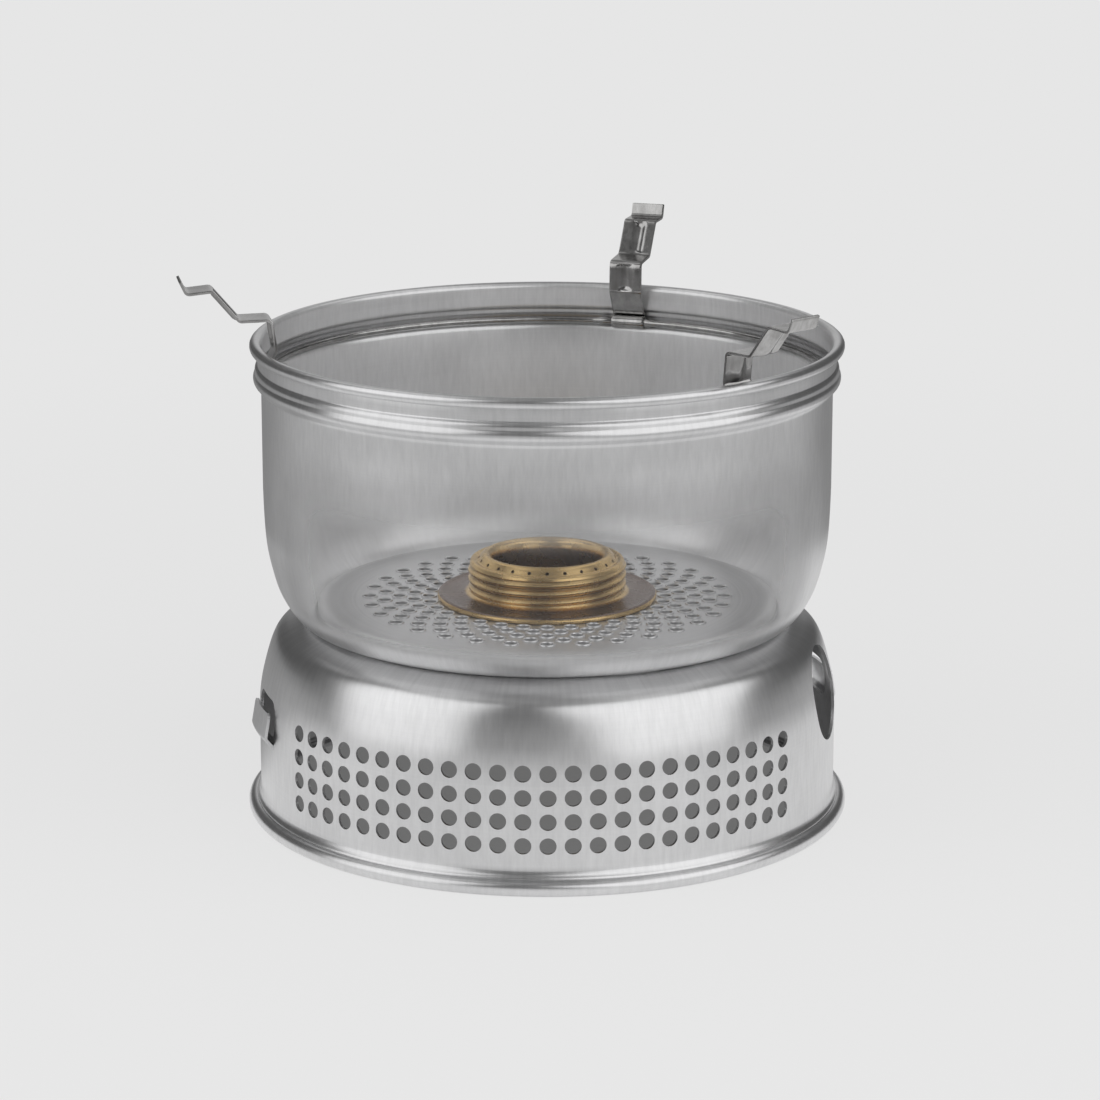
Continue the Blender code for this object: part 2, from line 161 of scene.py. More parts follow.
def block(name, low, high, softened=0.0, slices=12):      # a box in mm, cut across so that it can be wrapped
    middle = [(a + b) / 2 * mm for a, b in zip(low, high)]
    size = [(b - a) * mm for a, b in zip(low, high)]
    bpy.ops.object.select_all(action="DESELECT")
    bpy.ops.mesh.primitive_cube_add(size=1.0, location=middle, scale=size)
    piece = named(bpy.context.object, name)
    intoMesh(piece)
    editing(piece)
    bpy.ops.mesh.select_all(action="SELECT")
    if softened:
        bpy.ops.mesh.bevel(offset=softened * mm, segments=3, affect="EDGES")
    for i in range(1, slices):
        bpy.ops.mesh.select_all(action="SELECT")
        place = (0.0, (low[1] + (high[1] - low[1]) * i / slices) * mm, 0.0)
        bpy.ops.mesh.bisect(plane_co=place, plane_no=(0.0, 1.0, 0.0))
    doneEditing()
    return piece


def wrapped(piece, radius):      # bends a flat-made piece round the axis, true to length at this radius
    mesh = editing(piece)
    for vert in mesh.verts:
        turn, reach = vert.co.y / (radius * mm), vert.co.x
        vert.co.x, vert.co.y = reach * math.cos(turn), reach * math.sin(turn)
    bmesh.update_edit_mesh(piece.data)
    doneEditing()
    return piece


def onCircle(radius, height, azimuth):      # a place round the axis, from mm and degrees
    turn = math.radians(azimuth)
    return axisX + radius * mm * math.cos(turn), axisY + radius * mm * math.sin(turn), height * mm


def turnTo(piece, azimuth, lean=0.0, hinge=(0.0, 0.0)):      # stands a flat-made piece at its azimuth
    piece.location = onCircle(*hinge, azimuth)
    piece.rotation_euler = (0.0, math.radians(lean), math.radians(azimuth))
    intoMesh(piece)
    return piece


def evenSweep(count):      # degrees from the first to the last of so many places spread round a full turn
    return 360.0 * (count - 1) / count


def repeated(piece, count, sweep):      # copies in the same mesh, round the axis
    editing(piece)
    bpy.ops.mesh.select_all(action="SELECT")
    bpy.ops.mesh.spin(steps=count - 1, dupli=True, angle=-math.radians(sweep), center=(axisX, axisY, 0.0),
                      axis=(0.0, 0.0, 1.0))
    doneEditing()
    return piece


def punchRing(name, punch, places, count, sweep):      # rods at places, repeated round the axis
    width, depth, sides = punch
    rods = []
    for radius, height, azimuth, pitch in places:
        bpy.ops.object.select_all(action="DESELECT")
        bpy.ops.mesh.primitive_cylinder_add(
            vertices=sides, radius=width * mm, depth=depth * mm, location=onCircle(radius, height, azimuth),
            rotation=(0.0, math.radians(90.0 - pitch), math.radians(azimuth)))
        rods.append(bpy.context.object)
    rod = joined(rods, rods[-1], name)
    intoMesh(rod)
    return repeated(rod, count, sweep)


# sums on shader sockets

class Wire:      # a socket that takes part in Python sums
    def __init__(self, tree, socket=None):
        self.tree, self.socket = tree, socket

    def node(self, kind, settings=None, sockets=None, output=0):
        made = self.tree.nodes.new(kind)
        for key, value in (settings or {}).items():
            setattr(made, key, value)
        for key, value in (sockets or {}).items():
            if isinstance(value, Wire):
                self.tree.links.new(value.socket, made.inputs[key])
            else:
                made.inputs[key].default_value = value
        return Wire(self.tree, made.outputs[output])

    def beside(self, output):      # another output of the same node
        return Wire(self.tree, self.socket.node.outputs[output])

    def maths(self, operation, *values):
        return self.node("ShaderNodeMath", {"operation": operation}, dict(enumerate(values)))

    def __add__(self, other):
        return self.maths("ADD", self, other)

    def __radd__(self, other):
        return self.maths("ADD", other, self)

    def __sub__(self, other):
        return self.maths("SUBTRACT", self, other)

    def __rsub__(self, other):
        return self.maths("SUBTRACT", other, self)

    def __mul__(self, other):
        return self.maths("MULTIPLY", self, other)

    def __rmul__(self, other):
        return self.maths("MULTIPLY", other, self)

    def __truediv__(self, other):
        return self.maths("DIVIDE", self, other)

    def __rtruediv__(self, other):
        return self.maths("DIVIDE", other, self)

    def __pow__(self, other):
        return self.maths("POWER", self, other)

    def atLeast(self, other):
        return self.maths("MAXIMUM", self, other)

    def step(self, low, high):      # 0 below low, 1 above high, soft between
        return self.node("ShaderNodeMapRange", {"interpolation_type": "SMOOTHSTEP"},
                         {"Value": self, "From Min": low, "From Max": high})

    def noise(self, scale, stretch=(1.0, 1.0, 1.0), detail=3.0, roughness=0.5):
        laid = self.node("ShaderNodeMapping", None, {"Vector": self, "Scale": stretch})
        sockets = {"Vector": laid, "Scale": scale, "Detail": detail, "Roughness": roughness}
        return self.node("ShaderNodeTexNoise", None, sockets)

    def mix(self, low, high):      # a colour between two others, self being the share of the second
        return self.node("ShaderNodeMix", {"data_type": "RGBA"}, {0: self, 6: low, 7: high}, output=2)

    def asBump(self, strength, depth):      # depth in mm
        sockets = {"Height": self, "Strength": strength, "Distance": depth * mm}
        return self.node("ShaderNodeBump", None, sockets)


def newMaterial(name, metallic, roughness, **fixed):
    material = bpy.data.materials.new(name)
    material.use_nodes = True
    tree = material.node_tree
    shader = tree.nodes["Principled BSDF"]
    shader.inputs["Metallic"].default_value = metallic
    shader.inputs["Roughness"].default_value = roughness
    for key, value in fixed.items():
        shader.inputs[key].default_value = value
    return material, shader, Wire(tree)


def feed(shader, **wires):
    for key, wire in wires.items():
        wire.tree.links.new(wire.socket, shader.inputs[key.replace("_", " ")])


def fromAxis(start):      # a vector from the axis in metres, then x, y, radius and height in mm
    inMm = 1.0 / mm
    spot = start.node("ShaderNodeTexCoord", output="Object")
    centred = start.node("ShaderNodeMapping", None, {"Vector": spot, "Location": (-axisX, -axisY, 0.0)})
    x = start.node("ShaderNodeSeparateXYZ", None, {0: centred}, output="X")
    y, height = x.beside("Y"), x.beside("Z")
    radius = (x * x + y * y) ** 0.5
    return centred, x * inMm, y * inMm, radius * inMm, height * inMm


def roundVector(x, y, radius, along):      # the direction from the axis, and a number along the profile
    return x.node("ShaderNodeCombineXYZ", None, {0: x / radius, 1: y / radius, 2: along})


aluminiumLook = {
    "colour": (0.81, 0.81, 0.815, 1.0), "colourLow": (0.66, 0.66, 0.665, 1.0), "colourRange": (0.25, 0.75),
    "roughness": 0.29, "roughnessSpread": 0.07, "anisotropy": 0.35, "grain": 0.25, "bump": (0.012, 0.2),
    "streaks": 60.0, "streakDraw": 0.002, "cloud": 22.0, "rings": 1.9,
    "wear": (0.45, 0.45, 0.1),      # shares of cloud, marks and rings
}
bowlLook = {      # what only the bowl has, in mm and shares
    "disc": (70.4, 70.9), "discTop": (72.4, 73.0), "discEdge": (74.0, 76.0), "discRoughness": 0.10,
    "innerSide": (94.8, 95.9), "innerSlope": (144.0, 153.0), "innerEdge": (-0.2, 0.2), "innerMetal": 0.62,
    "clearFront": 0.96, "fadeSides": (0.34, 0.70), "fadeFoot": (72.5, 79.0), "fadeTop": (109.0, 136.0),
}


def clearFrontAndMattInside(shader, disc, y, radius, height):
    look = bowlLook
    # the inside is left matt, as it comes off the lathe
    wall, neck = look["innerSide"]
    skin = radius - (height.step(*look["innerSlope"]) * (neck - wall) + wall)
    matt = (1.0 - skin.step(*look["innerEdge"])) * (1.0 - disc)
    # the front of the wall is drawn clear between the bead and the foot
    front = (0.0 - y / radius).step(*look["fadeSides"])
    band = height.step(*look["fadeFoot"]) * (1.0 - height.step(*look["fadeTop"]))
    feed(shader, Metallic=1.0 - matt * (1.0 - look["innerMetal"]),
         Alpha=1.0 - front * band * look["clearFront"])


def spunAluminium(name, ofBowl=False):
    look = aluminiumLook
    turnedMarks = {"Anisotropic": look["anisotropy"], "Anisotropic Rotation": look["grain"]}
    material, shader, start = newMaterial(name, 1.0, look["roughness"], **turnedMarks)
    centred, x, y, radius, height = fromAxis(start)
    lines = roundVector(x, y, radius, height * look["streakDraw"])
    marks = lines.noise(look["streaks"], detail=3.0, roughness=0.6)      # fine marks that run down the wall
    cloud = centred.noise(look["cloud"], detail=2.0)
    rings = start.node("ShaderNodeCombineXYZ", None, {0: radius, 1: height, 2: 0.0})
    rings = rings.noise(look["rings"], detail=2.0)
    if ofBowl:      # the floor disc has turned rings in place of streaks
        disc = height.step(*bowlLook["disc"]) * (1.0 - height.step(*bowlLook["discTop"]))
        disc = disc * (1.0 - radius.step(*bowlLook["discEdge"]))
        marks = marks * (1.0 - disc) + rings * disc
    cloudShare, markShare, ringShare = look["wear"]
    worn = cloud * cloudShare + marks * markShare + rings * ringShare
    rough = (marks * 0.5 + cloud * 0.5 - 0.5) * look["roughnessSpread"] + look["roughness"]
    if ofBowl:
        rough = rough + disc * bowlLook["discRoughness"]
        clearFrontAndMattInside(shader, disc, y, radius, height)
    feed(shader, Base_Color=worn.step(*look["colourRange"]).mix(look["colourLow"], look["colour"]),
         Roughness=rough, Normal=(rings * 0.5 + marks * 0.5).asBump(*look["bump"]))
    return material


steelLook = {
    "colour": (0.56, 0.555, 0.55, 1.0), "colourLow": (0.34, 0.335, 0.33, 1.0), "colourRange": (0.3, 0.7),
    "roughness": 0.16, "roughnessSpread": 0.08, "bump": (0.02, 0.2),
    "cloud": 160.0, "scuffs": 600.0, "scuffDraw": (1.0, 1.0, 0.2),
    "wear": (0.6, 0.4),      # shares of cloud and scuffs
}


def stainlessSteel(name):
    look = steelLook
    material, shader, start = newMaterial(name, 1.0, look["roughness"])
    spot = start.node("ShaderNodeTexCoord", output="Object")
    cloud = spot.noise(look["cloud"], detail=3.0)
    scuffs = spot.noise(look["scuffs"], stretch=look["scuffDraw"], detail=3.0, roughness=0.7)
    cloudShare, scuffShare = look["wear"]
    worn = (cloud * cloudShare + scuffs * scuffShare).step(*look["colourRange"])
    feed(shader, Base_Color=worn.mix(look["colourLow"], look["colour"]),
         Roughness=(scuffs - 0.5) * look["roughnessSpread"] + look["roughness"],
         Normal=scuffs.asBump(*look["bump"]))
    return material


brassLook = {
    "gold": (0.76, 0.54, 0.255, 1.0), "brown": (0.22, 0.135, 0.055, 1.0), "plum": (0.21, 0.155, 0.13, 1.0),
    "umber": (0.13, 0.09, 0.07, 1.0), "roughness": 0.27, "roughnessSpread": 0.2, "bump": (0.03, 0.2),
    "patina": 130.0, "specks": 700.0, "lines": 3.0, "lineDraw": 0.9, "wearRange": (0.22, 0.66),
    "wear": (0.45, 0.1, 0.45),      # shares of patina, specks and lines
    "neck": (0.35, 0.65),      # shares of wear and of the brighter brass, which is partly a painted highlight
    "flangeFrom": (26.9, 28.2), "flangeTo": (36.6, 36.9),      # mm, the dark disc of the flange
    "ridge": (25.7, 26.5), "rimTop": (83.6, 84.4), "hollow": (20.0, 22.0), "inside": 0.6,      # brighter brass: the crests, worn and partly a painted highlight, the rim top and the inside of the neck
}


def bronzedBrass(name):
    look = brassLook
    material, shader, start = newMaterial(name, 1.0, look["roughness"])
    centred, x, y, radius, height = fromAxis(start)
    patina = centred.noise(look["patina"], detail=5.0, roughness=0.6)
    specks = centred.noise(look["specks"], detail=2.0)
    lines = roundVector(x, y, radius, height * look["lineDraw"]).noise(look["lines"], detail=3.0)
    patinaShare, speckShare, lineShare = look["wear"]
    worn = (patina * patinaShare + specks * speckShare + lines * lineShare).step(*look["wearRange"])
    flange = radius.step(*look["flangeFrom"]) * (1.0 - radius.step(*look["flangeTo"]))
    # the thread crests are made gold against the brown roots, partly wear and partly a painted highlight; the
    # rim top and the inside of the neck are lighter brass too
    rubbedAndHighlit = radius.step(*look["ridge"]).atLeast(height.step(*look["rimTop"]))
    rubbedAndHighlit = rubbedAndHighlit.atLeast(look["inside"] - radius.step(*look["hollow"]) * look["inside"])
    wornShare, rubbedAndHighlitShare = look["neck"]
    neck = (worn * wornShare + rubbedAndHighlit * rubbedAndHighlitShare).mix(look["brown"], look["gold"])
    disc = worn.mix(look["umber"], look["plum"])
    feed(shader, Base_Color=flange.mix(neck, disc),
         Roughness=(patina - 0.5) * look["roughnessSpread"] + look["roughness"],
         Normal=specks.asBump(*look["bump"]))
    return material


wickLook = {
    "light": (0.80, 0.76, 0.68, 1.0), "dark": (0.55, 0.50, 0.42, 1.0), "range": (0.3, 0.7), "roughness": 0.95,
    "fluff": 900.0, "bump": (0.6, 0.4),
}


def wickFibre(name):
    look = wickLook
    material, shader, start = newMaterial(name, 0.0, look["roughness"])
    spot = start.node("ShaderNodeTexCoord", output="Object")
    fluff = spot.noise(look["fluff"], detail=4.0, roughness=0.7)
    feed(shader, Base_Color=fluff.step(*look["range"]).mix(look["dark"], look["light"]),
         Normal=fluff.asBump(*look["bump"]))
    return material


def finished(piece, node, body, material):
    piece.data.materials.clear()
    piece.data.materials.append(material)
    pickOnly(piece)
    bpy.ops.object.shade_smooth_by_angle(angle=math.radians(smoothAngle))
    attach(piece, body)
    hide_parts(node)
    print("made", piece.name, len(piece.data.polygons), "faces")


# lower windshield

# mm and degrees; a profile is radius and height, an arc is start, end and count,
# and a punch is radius, depth and sides
base = {
    "sheet": 1.0, "steps": 240, "wallRadius": 97.25,
    "lip": (80.3, 64.0), "lipTop": 64.8, "bend": 1.0, "bendArc": (180, 100, 5), "top": 66.45,
    "shoulder": [(83.2, 65.75), (85.9, 64.5), (88.8, 63.1), (91.2, 61.2), (92.7, 58.4), (94.0, 54.6),
                 (95.2, 50.2), (96.3, 45.6), (97.0, 41.0), (97.25, 36.0)],
    "wall": [(97.25, 30.0), (97.25, 20.0), (97.25, 9.4)],
    "flange": [(97.35, 7.6), (97.8, 6.2), (98.6, 5.3)],
    "roll": (99.3, 2.54, 2.15), "rollArcs": ((105, -68, 10), (-112, -170, 4)),
    "ventPunch": (2.75, 8.0, 28), "ventPitch": 8.0, "ventRows": 4, "ventColumns": 24,
    "ventLowest": 16.0, "ventMiddle": 267.8,
    "hosePunch": (15.8, 30.0, 72), "hoseHeight": 45.0, "hoseAzimuth": 345.9,
    "notchAngle": 12.0, "notchReach": 81.4, "notchAzimuths": (52.0, 169.6, 291.5),
    "notchInward": 3.0, "notchOver": 2.0,      # how far the cut passes the lip inwards, and up and down
}


def lowerProfile():
    radius, bottom = base["lip"]
    rollX, rollZ, roll = base["roll"]
    bend = base["bend"]
    lip = [(radius, bottom), (radius, base["lipTop"])]
    lip += bow((radius + bend, base["top"] - bend), bend, *base["bendArc"])
    profile = lip + eased(base["shoulder"]) + base["wall"] + eased(base["flange"], 1)
    for arc in base["rollArcs"]:
        profile += bow((rollX, rollZ), roll, *arc)
    return profile


hook = {
    "azimuths": (195.2, 15.2), "width": 20.6, "columns": 12,
    "path": [(97.2, 28.6), (100.4, 32.4), (98.9, 41.2)], "bend": 1.5, "bendSteps": 7, "corner": 2.0,
    "sill": 31.8, "windowTop": 44.8, "gap": 1.3, "windowCorner": 4.6, "windowReach": (90.0, 104.0),
}


def roundedPath(points, radius, count):      # inner corners drawn as arcs
    path = [Vector(points[0])]
    for before, corner, after in zip(points, points[1:], points[2:]):
        corner = Vector(corner)
        back, ahead = (Vector(before) - corner).normalized(), (Vector(after) - corner).normalized()
        half = back.angle(ahead) / 2
        start, end = corner + back * radius / math.tan(half), corner + ahead * radius / math.tan(half)
        centre = corner + (back + ahead).normalized() * radius / math.sin(half)
        for i in range(count):
            spoke = (start - centre).slerp(end - centre, i / (count - 1)).normalized()
            path.append(centre + spoke * radius)
    return path + [Vector(points[-1])]


def stripAlong(name, path, width, columns):      # a flat strip laid in the XZ plane, in mm
    bpy.ops.object.select_all(action="DESELECT")
    bpy.ops.mesh.primitive_plane_add(size=width * mm, location=(path[0][0] * mm, 0.0, path[0][1] * mm))
    piece = named(bpy.context.object, name)
    intoMesh(piece)
    editing(piece)
    pickVerts(piece, lambda spot: spot.x > path[0][0] * mm)
    bpy.ops.mesh.delete(type="VERT")      # one edge of the plane is left
    bpy.ops.mesh.select_all(action="SELECT")
    bpy.ops.transform.translate(value=(width / 2 * mm, 0.0, 0.0))
    bpy.ops.mesh.subdivide(number_cuts=columns - 1)
    bpy.ops.mesh.select_all(action="SELECT")
    for here, ahead in zip(path, path[1:]):
        stride = ((ahead[0] - here[0]) * mm, 0.0, (ahead[1] - here[1]) * mm)
        bpy.ops.mesh.extrude_edges_move(TRANSFORM_OT_translate={"value": stride})
    doneEditing()
    return piece


def addHook(shell, azimuth):      # a window in the wall, and the tongue that was bent out of it
    half = hook["width"] / 2
    opening = half + hook["gap"]
    near, far = hook["windowReach"]
    low, high = (near, -opening, hook["sill"]), (far, opening, hook["windowTop"])
    window = block("window", low, high, hook["windowCorner"])
    cutWith(shell, turnTo(wrapped(window, base["wallRadius"]), azimuth))
    path = roundedPath(hook["path"], hook["bend"], hook["bendSteps"])
    tongue = stripAlong("tongue", path, hook["width"], hook["columns"])
    editing(tongue)
    tip = path[-1][1]
    pickVerts(tongue, lambda spot: spot.z > (tip - hair) * mm and abs(spot.y) > (half - hair) * mm)
    bpy.ops.mesh.bevel(offset=hook["corner"] * mm, segments=4, affect="VERTICES")
    doneEditing()
    asSheet(wrapped(tongue, base["wallRadius"]), base["sheet"])
    cutWith(shell, turnTo(tongue, azimuth), "UNION")


def cutNotches(shell):      # the lugs of the bowl pass down here before the twist
    radius, bottom = base["lip"]
    over, outer = base["notchOver"], base["notchReach"]
    reach = math.radians(base["notchAngle"] / 2) * outer
    low, high = (radius - base["notchInward"], -reach, bottom - over), (outer, reach, base["top"] + over)
    for azimuth in base["notchAzimuths"]:
        cutWith(shell, turnTo(wrapped(block("notch", low, high), outer), azimuth))


def makeLowerWindshield():
    shell = turned("lower_windshield_spun", lowerProfile(), base["steps"])
    asSheet(shell, base["sheet"])
    wall, pitch, columns = base["wallRadius"], base["ventPitch"], base["ventColumns"]
    sweep = math.degrees(pitch / wall) * (columns - 1)
    first = base["ventMiddle"] - sweep / 2
    rows = [(wall, base["ventLowest"] + pitch * row, first, 0.0) for row in range(base["ventRows"])]
    cutWith(shell, punchRing("vents", base["ventPunch"], rows, columns, sweep))
    hose = [(wall, base["hoseHeight"], base["hoseAzimuth"], 0.0)]
    cutWith(shell, punchRing("hose", base["hosePunch"], hose, 1, 0.0))
    cutNotches(shell)
    for azimuth in hook["azimuths"]:
        addHook(shell, azimuth)
    return shell


lowerShell = makeLowerWindshield()
finished(lowerShell, "lower_windshield", "lower_windshield",
         spunAluminium("spun aluminium"))


# upper windshield

bowl = {
    "sheet": 1.0, "steps": 240,
    "rim": (97.05, 160.0, 1.45), "rimArc": (-110, 180, 15), "neck": [(95.9, 158.0), (95.9, 156.0)],
    "bead": [(95.9, 154.4), (95.92, 153.6), (96.5, 153.05), (96.82, 152.5), (96.86, 151.0), (97.15, 150.45),
             (97.42, 149.7), (97.4, 148.9), (97.05, 148.2), (95.9, 147.2), (95.05, 146.3), (94.8, 145.2)],
    "wall": [(94.8, 136.0), (94.8, 128.0), (94.8, 120.0)],
    "curve": [(94.8, 112.0), (94.6, 104.0), (94.2, 96.0), (93.4, 90.0), (92.45, 86.0), (91.45, 82.0),
              (90.15, 78.0), (88.05, 74.0), (86.2, 71.2), (84.2, 69.0), (82.2, 67.9), (80.3, 67.55)],
    "foot": [(79.2, 67.3), (78.7, 66.4), (78.7, 64.6), (78.7, 63.4), (78.7, 63.05)],
    "footBottom": (77.85, 63.05, 0.85), "footArc": (-25, -180, 7),
    "riser": [(77.0, 64.5), (77.0, 68.0), (77.0, 70.0)],
    "floor": 71.5, "floorEdge": (76.2, 0.8), "floorArc": (0, 90, 4), "floorMiddle": 60.0, "burnerHole": 33.4,
    "drill": (2.15, 4.0, 20), "holeRings": (40.0, 45.0, 50.0, 55.0, 60.0), "holesInRing": 32,
    "lip": (2.38, 0.40), "lipSteps": (20, 8), "lipHeight": 72.05,
    "lugAzimuths": (72.0, 189.6, 311.5), "lugAngle": 8.0, "lugSides": (78.3, 80.9),
    "lugHeights": (61.9, 63.4), "lugSoft": 0.45,
}


def upperProfile():
    rimX, rimZ, rim = bowl["rim"]
    footX, footZ, foot = bowl["footBottom"]
    edge, bend = bowl["floorEdge"]
    level = bowl["floor"]
    curl = bow((rimX, rimZ), rim, *bowl["rimArc"])
    bottom = bow((footX, footZ), foot, *bowl["footArc"])
    floor = bow((edge, level - bend), bend, *bowl["floorArc"])
    floor += [(bowl["floorMiddle"], level), (bowl["burnerHole"], level)]
    outside = curl + bowl["neck"] + eased(bowl["bead"], 1) + bowl["wall"] + eased(bowl["curve"])
    return outside + bowl["foot"] + bottom + bowl["riser"] + floor


def addLips(shell, places, count):      # the small burr that the punch leaves round each perforation
    width, thick = bowl["lip"]
    around, across = bowl["lipSteps"]
    burrs = []
    bpy.ops.object.select_all(action="DESELECT")
    for radius, _, azimuth, _ in places:
        bpy.ops.mesh.primitive_torus_add(major_radius=width * mm, minor_radius=thick * mm,
                                         major_segments=around, minor_segments=across,
                                         location=onCircle(radius, bowl["lipHeight"], azimuth))
        burrs.append(bpy.context.object)
    lips = joined(burrs, burrs[0], "lips")
    intoMesh(lips)
    repeated(lips, count, evenSweep(count))
    joined([lips], shell, shell.name)


def makeUpperWindshield():
    shell = turned("upper_windshield_spun", upperProfile(), bowl["steps"])
    asSheet(shell, bowl["sheet"])
    count = bowl["holesInRing"]
    stagger = 360.0 / count / 2      # every second ring is turned by half a step
    places = [(radius, bowl["floor"], frontward + stagger * (row % 2), 90.0)
              for row, radius in enumerate(bowl["holeRings"])]
    cutWith(shell, punchRing("drills", bowl["drill"], places, count, evenSweep(count)))
    addLips(shell, places, count)
    low, high = bowl["lugHeights"]
    inner, outer = bowl["lugSides"]
    reach = math.radians(bowl["lugAngle"] / 2) * outer
    for azimuth in bowl["lugAzimuths"]:
        lug = block("lug", (inner, -reach, low), (outer, reach, high), bowl["lugSoft"])
        cutWith(shell, turnTo(wrapped(lug, outer), azimuth), "UNION")
    return shell


upperShell = makeUpperWindshield()
finished(upperShell, "upper_windshield", "upper_windshield",
         spunAluminium("spun aluminium, clear front", ofBowl=True))


# wire ring and pan supports

ring = {
    "radius": 94.0, "height": 148.9, "wire": 1.05, "steps": 360, "wireSteps": 14,
    "stopOffset": 8.2, "stopWidth": 1.6, "stopSwell": 1.6,      # the pinched stops beside each support
}
supports = {
    "places": {      # azimuth and lean
        "pan_support_back": (72.0, -3.2), "pan_support_left": (189.6, 2.8), "pan_support_right": (311.5, 0.7),
    },
    "sheet": 0.9, "width": 11.6, "columns": 16, "stride": 0.8,
    "eye": 1.8, "eyeTurn": 290.0, "eyeSteps": 26,      # the eye is rolled round the wire
    "corners": [(-3.6, 11.9), (-2.7, 22.15), (7.7, 22.45), (15.9, 33.15), (24.4, 32.75), (26.2, 37.2)],
    "bend": 1.7, "bendSteps": 6,
    "ribHalf": 3.0, "ribDepth": 0.9, "ribFade": 0.12, "ribCrown": 1.3, "ribStray": 0.1,
    "edge": 0.14, "edgeAngle": 50.0,
}


def makeRing():
    bpy.ops.object.select_all(action="DESELECT")
    bpy.ops.mesh.primitive_torus_add(major_radius=ring["radius"] * mm, minor_radius=ring["wire"] * mm,
                                     major_segments=ring["steps"], minor_segments=ring["wireSteps"],
                                     location=(axisX, axisY, ring["height"] * mm))
    wire = named(bpy.context.object, "support_ring_wire")
    intoMesh(wire)
    editing(wire)
    reach = math.degrees(ring["stopOffset"] / ring["radius"])
    swell = ring["stopSwell"]
    for azimuth, _ in supports["places"].values():
        for side in (-1, 1):
            stop = Vector(onCircle(ring["radius"], ring["height"], azimuth + side * reach))
            pickVerts(wire, lambda spot: (spot - stop).length < ring["stopWidth"] * mm)
            bpy.ops.transform.resize(value=(swell, swell, swell), center_override=stop,
                                     use_proportional_edit=False)
    doneEditing()
    return wire


def supportPath():
    corners, eye = supports["corners"], supports["eye"]
    knee = Vector(corners[0])
    start = math.degrees(math.atan2(knee.y, knee.x) - math.acos(eye / knee.length))
    roll = bow((0.0, 0.0), eye, start - supports["eyeTurn"], start, supports["eyeSteps"])
    path = [Vector(point) for point in roll]
    path += roundedPath([path[-1]] + corners, supports["bend"], supports["bendSteps"])[1:]
    dense = []
    for here, ahead in zip(path, path[1:]):
        parts = max(1, round((ahead - here).length / supports["stride"]))
        dense += [here.lerp(ahead, i / parts) for i in range(parts)]
    return dense + [path[-1]]


def pressRib(strip):      # a soft rib that stands out along the leg and along the slope
    mesh = editing(strip)
    corners, faded = supports["corners"], supports["ribFade"]
    for start, end in ((corners[0], corners[1]), (corners[2], corners[3])):
        start, end = Vector(start) * mm, Vector(end) * mm
        along = end - start
        off = Vector((along.y, -along.x)).normalized()
        for vert in mesh.verts:
            spot = Vector((vert.co.x, vert.co.z))
            part = (spot - start).dot(along) / along.length_squared
            stray = (spot - start - along * part).length
            across = abs(vert.co.y) / (supports["ribHalf"] * mm)
            if stray < supports["ribStray"] * mm and 0.0 < part < 1.0 and across < 1:
                fade = min(1.0, part / faded, (1.0 - part) / faded)
                crown = math.cos(across * math.pi / 2) ** supports["ribCrown"]
                push = off * supports["ribDepth"] * mm * crown * math.sin(fade * math.pi / 2)
                vert.co.x += push.x
                vert.co.z += push.y
    bmesh.update_edit_mesh(strip.data)
    doneEditing()


def makeSupports(material):      # one strip is bent, and each support is a copy at its own azimuth and lean
    strip = stripAlong("strip", supportPath(), supports["width"], supports["columns"])
    pressRib(strip)
    asSheet(strip, supports["sheet"])
    cleaned(strip)
    applied(strip, "BEVEL", width=supports["edge"] * mm, segments=2, limit_method="ANGLE",
            angle_limit=math.radians(supports["edgeAngle"]))
    for node, (azimuth, lean) in supports["places"].items():
        piece = strip.copy()
        piece.data = strip.data.copy()
        bpy.context.scene.collection.objects.link(piece)
        named(piece, node + "_strip")
        turnTo(piece, azimuth, lean, (ring["radius"], ring["height"]))
        finished(piece, node, node, material)
    bpy.data.objects.remove(strip)


steel = stainlessSteel("stainless steel strip")
finished(makeRing(), "support_ring", "upper_windshield",
         stainlessSteel("stainless steel wire"))
makeSupports(steel)


# burner

burner = {
    "sheet": 0.5, "steps": 180,
    "rim": [(18.55, 81.6), (18.55, 83.2), (18.6, 84.2), (18.8, 85.3), (19.2, 86.3), (19.9, 87.0),
            (20.7, 87.3), (21.4, 87.1), (22.1, 86.5), (22.7, 85.7), (23.2, 85.0), (23.7, 84.75),
            (24.3, 84.95), (24.8, 85.2), (25.3, 85.2), (25.7, 84.9), (25.85, 84.3)],
    "threadRadius": 25.95, "threadInside": 25.0, "threadDepth": 0.55, "threadPitch": 3.0, "threadStart": 0.75,
    "threadHeights": (75.0, 84.0), "threadFades": (1.2, 0.8), "threadRings": 46,
    "flange": [(26.0, 74.7), (26.6, 74.2), (27.8, 73.9), (29.4, 73.7), (31.5, 73.6), (34.3, 73.6),
               (35.2, 73.75), (35.9, 73.9), (36.5, 73.7), (36.85, 73.2), (36.85, 72.7), (36.5, 72.25),
               (35.8, 72.1), (34.3, 72.1)],
    "jetPunch": (0.6, 2.6, 14), "jetCircle": 22.6, "jetHeight": 85.5, "jetPitch": 42.0, "jets": 24,
    "cup": [(35.8, 72.95), (34.0, 72.95), (33.1, 72.9), (32.5, 72.4), (32.3, 71.6), (32.25, 60.0),
            (32.25, 47.4), (32.0, 46.0), (31.2, 44.9), (29.8, 44.3), (27.0, 44.25)],
    "cupBottom": [(12.0, 44.25), (0.0, 44.25)],
    "innerWall": [(19.35, 83.4), (19.35, 64.0), (19.35, 44.85)],
    "portPunch": (1.6, 4.0, 20), "portPlace": (19.35, 44.85, 30.0, 0.0), "ports": 3,
    "wick": [(23.05, 80.4), (22.5, 81.0), (20.4, 81.0), (19.9, 80.4), (19.9, 62.0), (19.9, 45.6),
             (20.4, 45.15), (22.5, 45.15), (23.05, 45.6), (23.05, 62.0), (23.05, 80.4)],
    "wickSteps": 96,
}


